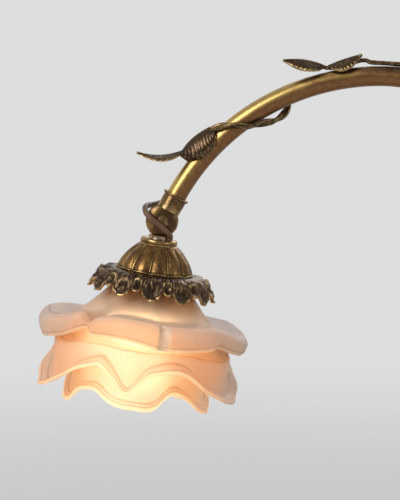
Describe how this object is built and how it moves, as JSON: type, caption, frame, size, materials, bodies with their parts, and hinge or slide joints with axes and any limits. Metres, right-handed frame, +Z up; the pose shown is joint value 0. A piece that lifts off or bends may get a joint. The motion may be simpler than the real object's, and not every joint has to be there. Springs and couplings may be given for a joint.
{
  "type": "tulip shade table lamp",
  "caption": "Swan-neck brass table lamp with a vine round its arm and a frosted rose glass shade on a tilting knuckle.",
  "frame": {"origin": "centre of the foot's underside, on the table", "axes": "+Z up; the arm reaches towards -X; -Y is the pictured front; the lead's inlet is at +Y"},
  "size_m": [0.3785, 0.1785, 0.4483],
  "materials": {
    "arm_brass": "aged brass, rubbed bright on top and brown below",
    "gallery_brass": "cast brass with dark patina in the grooves",
    "bright_brass": "turned brass, rubbed bright",
    "leaf_bronze": "cast bronze, dark brown patina with rubbed edges",
    "knuckle_bronze": "cast brass, reddish-brown patina",
    "plated_steel": "nickel-plated steel, dulled",
    "iron": "raw cast iron",
    "felt": "pressed felt",
    "lead_sheath": "brown sheathed two-core lead, satin",
    "inlet_plastic": "brown moulded bush",
    "fibre": "pressed fibre",
    "porcelain": "white glazed ceramic",
    "frosted_glass": "satin-etched pressed glass, peach pink, lit from inside",
    "bulb_glass": "clear bulb glass",
    "filament_wire": "glowing filament and its wires"
  },
  "bodies": {
    "stand": {"felt_pad": "felt", "bottom_plate": "plated_steel", "plate_screws": "plated_steel", "ballast_weight": "iron", "base_plinth": "gallery_brass", "base_leaf_ring": "leaf_bronze", "base_dome": "gallery_brass", "stem_spacer": "plated_steel", "stem_washer": "plated_steel", "stem_nut": "arm_brass", "stem_collar": "bright_brass", "cord_bush": "inlet_plastic", "arm_tube": "arm_brass", "arm_flex": "lead_sheath", "knuckle_upper": "knuckle_bronze", "vine_stem": "leaf_bronze", "stem_leaves": "leaf_bronze", "vine_crown": "leaf_bronze", "vine_end": "leaf_bronze", "draped_leaf": "leaf_bronze"},
    "head": {"knuckle_lower": "knuckle_bronze", "friction_washers": "fibre", "pivot_screw": "bright_brass", "pivot_nut": "bright_brass", "knuckle_flex": "lead_sheath", "neck_washer": "plated_steel", "collar_ring": "bright_brass", "gallery_dome": "gallery_brass", "gallery_leaf_rim": "leaf_bronze", "gallery_plate": "plated_steel", "stud_nut": "arm_brass", "holder_cap": "arm_brass", "holder_terminals": "bright_brass", "head_flex": "lead_sheath", "holder_insulator": "porcelain", "holder_thread": "bright_brass", "holder_contact": "bright_brass", "holder_skirt": "plated_steel", "shade_ring": "plated_steel", "glass_shade": "frosted_glass", "bulb_cap": "plated_steel", "bulb_tip": "porcelain", "bulb_envelope": "bulb_glass", "bulb_stem": "bulb_glass", "bulb_filament": "filament_wire"}
  },
  "joints": [
    {"name": "knuckle_tilt", "type": "hinge", "parent": "stand", "child": "head", "pos_m": [-0.2038, 0, 0.33108], "axis": [0, 1, 0], "range_deg": [-40, 55], "deforming": ["knuckle_flex"]}
  ]
}
